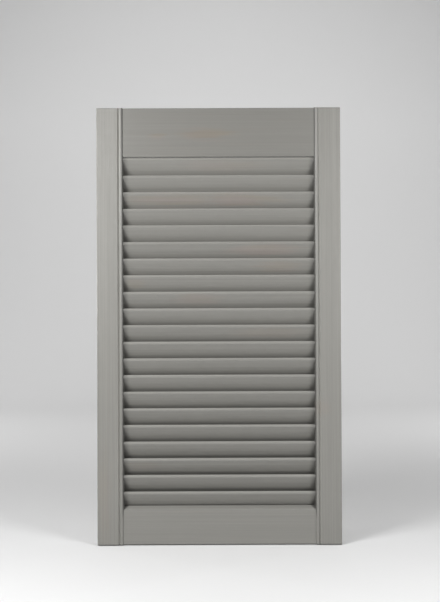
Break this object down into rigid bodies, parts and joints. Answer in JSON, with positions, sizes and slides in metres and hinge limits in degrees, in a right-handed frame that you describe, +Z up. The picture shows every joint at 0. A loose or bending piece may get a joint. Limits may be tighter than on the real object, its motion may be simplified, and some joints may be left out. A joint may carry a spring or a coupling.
{
  "type": "louvred shutter",
  "caption": "Rectangular wooden louvre panel with beaded stiles, a deep top rail, a bottom rail with a sloping top, and fixed sloping slats housed in the stiles.",
  "frame": {"origin": "middle of the foot, on the surface it stands on", "axes": "+Z up, -Y out of the front face, +X to the right as seen from the front"},
  "size_m": [0.402, 0.028, 0.72],
  "materials": {
    "stile": "satin warm grey stain brushed lengthwise over softwood",
    "rail": "satin warm grey stain brushed along the rail over softwood",
    "slat": "satin warm grey stain brushed along the slat over softwood, thin enough to show pinkish streaks",
    "dowel": "plain beech, unpainted"
  },
  "bodies": {
    "root": {"left_stile": "stile", "right_stile": "stile", "top_rail": "rail", "bottom_rail": "rail", "slat_01": "slat", "slat_02": "slat", "slat_03": "slat", "slat_04": "slat", "slat_05": "slat", "slat_06": "slat", "slat_07": "slat", "slat_08": "slat", "slat_09": "slat", "slat_10": "slat", "slat_11": "slat", "slat_12": "slat", "slat_13": "slat", "slat_14": "slat", "slat_15": "slat", "slat_16": "slat", "slat_17": "slat", "slat_18": "slat", "slat_19": "slat", "slat_20": "slat", "slat_21": "slat", "dowel_bottom_lower_left": "dowel", "dowel_bottom_lower_right": "dowel", "dowel_bottom_upper_left": "dowel", "dowel_bottom_upper_right": "dowel", "dowel_top_lower_left": "dowel", "dowel_top_lower_right": "dowel", "dowel_top_upper_left": "dowel", "dowel_top_upper_right": "dowel"}
  },
  "joints": []
}
